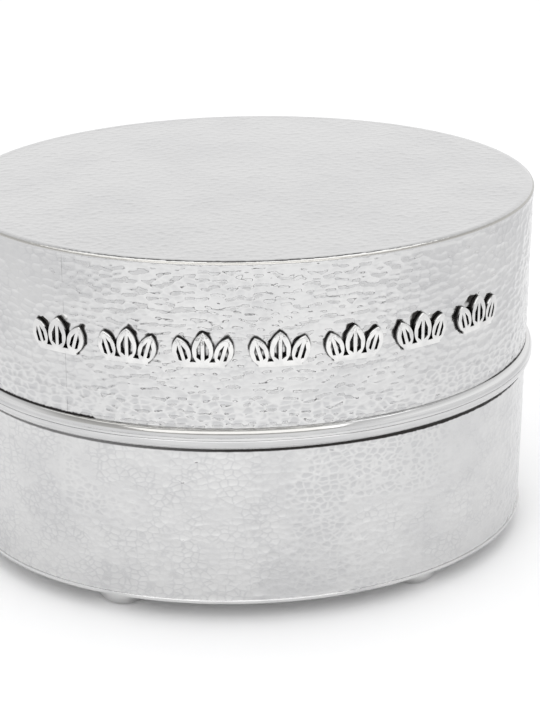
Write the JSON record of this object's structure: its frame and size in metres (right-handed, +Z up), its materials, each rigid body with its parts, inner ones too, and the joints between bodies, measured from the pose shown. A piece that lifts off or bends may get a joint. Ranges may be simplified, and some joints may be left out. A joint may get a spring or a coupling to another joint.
{
  "type": "etrog box",
  "caption": "Oval hinged box of hammered silver with a rounded bead at the seam, an openwork leaf frieze on the lid and low turned feet.",
  "frame": {"origin": "centre of the box on the surface that its feet stand on", "axes": "+X to the right along the length of the oval, +Y towards the hinge at the back, +Z up"},
  "size_m": [0.143, 0.1165, 0.0899],
  "materials": {
    "hammered_silver": "polished",
    "polished_silver": "polished",
    "frieze_silver": "polished"
  },
  "bodies": {
    "base": {"base_wall": "hammered_silver", "base_plate": "polished_silver", "base_rim": "polished_silver", "inner_collar": "polished_silver", "foot_front_left": "polished_silver", "foot_front_right": "polished_silver", "foot_back_left": "polished_silver", "foot_back_right": "polished_silver", "base_hinge": "polished_silver", "hinge_pin": "polished_silver"},
    "lid": {"lid_top_plate": "hammered_silver", "lid_wall": "hammered_silver", "lid_rim": "polished_silver", "lid_hinge": "polished_silver", "frieze_plate_1": "frieze_silver", "frieze_plate_2": "frieze_silver", "frieze_plate_3": "frieze_silver", "frieze_plate_4": "frieze_silver", "frieze_plate_5": "frieze_silver", "frieze_plate_6": "frieze_silver", "frieze_plate_7": "frieze_silver"}
  },
  "joints": [
    {"name": "lid_hinge_turn", "type": "hinge", "parent": "base", "child": "lid", "pos_m": [0, 0.0576, 0.04752], "axis": [-1, 0, 0], "range_deg": [0, 105]}
  ]
}
